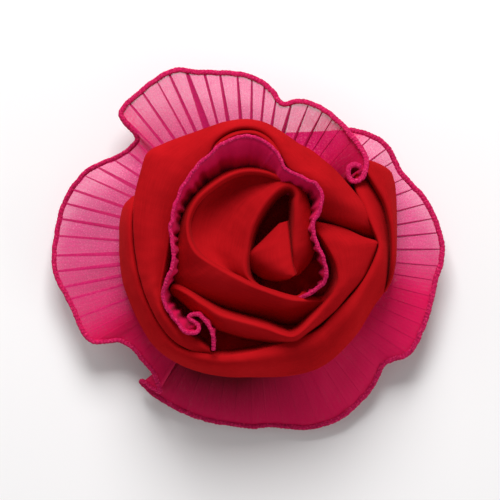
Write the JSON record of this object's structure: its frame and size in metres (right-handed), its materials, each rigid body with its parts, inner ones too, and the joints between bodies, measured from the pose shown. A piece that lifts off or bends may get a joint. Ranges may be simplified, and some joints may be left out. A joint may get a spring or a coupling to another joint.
{
  "type": "flower hair clip",
  "caption": "Rolled satin rose with pleated organza ruffles, sewn to a felt backing on a spring-loaded alligator clip.",
  "frame": {"origin": "on the flat underside of the clip's lower jaw, which the part rests on, under the middle of the backing disc", "axes": "+Z out of the flower's face, away from the clip; the clip lies along X, with its jaws' mouth at -X and its finger tabs at +X; +Y across the clip"},
  "size_m": [0.1185, 0.1101, 0.0456],
  "materials": {
    "red_satin": "matte-sheened polyester satin, folded double",
    "pink_organza": "sheer pleated organza",
    "overlock_thread": "dense overlocked thread edging",
    "sewing_thread": "polyester sewing thread",
    "felt": "dense craft felt",
    "buckram": "stiffened net",
    "glue": "set hot-melt glue",
    "clip_steel": "nickel-plated sheet steel",
    "spring_wire": "drawn spring wire"
  },
  "bodies": {
    "flower": {"clip_upper_arm": "clip_steel", "clip_pin": "clip_steel", "clip_spring": "spring_wire", "glue_pad": "glue", "felt_strap": "felt", "felt_backing": "felt", "backing_stitches": "sewing_thread", "foundation_disc": "buckram", "satin_bud": "red_satin", "satin_tongue": "red_satin", "satin_turn_1": "red_satin", "satin_turn_2": "red_satin", "satin_turn_3": "red_satin", "satin_turn_4": "red_satin", "ruffle_inner": "pink_organza", "ruffle_inner_edging": "overlock_thread", "ruffle_outer": "pink_organza", "ruffle_outer_edging": "overlock_thread"},
    "lower_jaw": {"clip_lower_jaw": "clip_steel"}
  },
  "joints": [
    {"name": "clip_hinge", "type": "hinge", "parent": "flower", "child": "lower_jaw", "pos_m": [0.012, 0, 0.007], "axis": [0, -1, 0], "range_deg": [0, 24], "stiffness_Nm_per_rad": 0.15, "springref_deg": -22.92, "deforming": ["clip_spring"]}
  ]
}
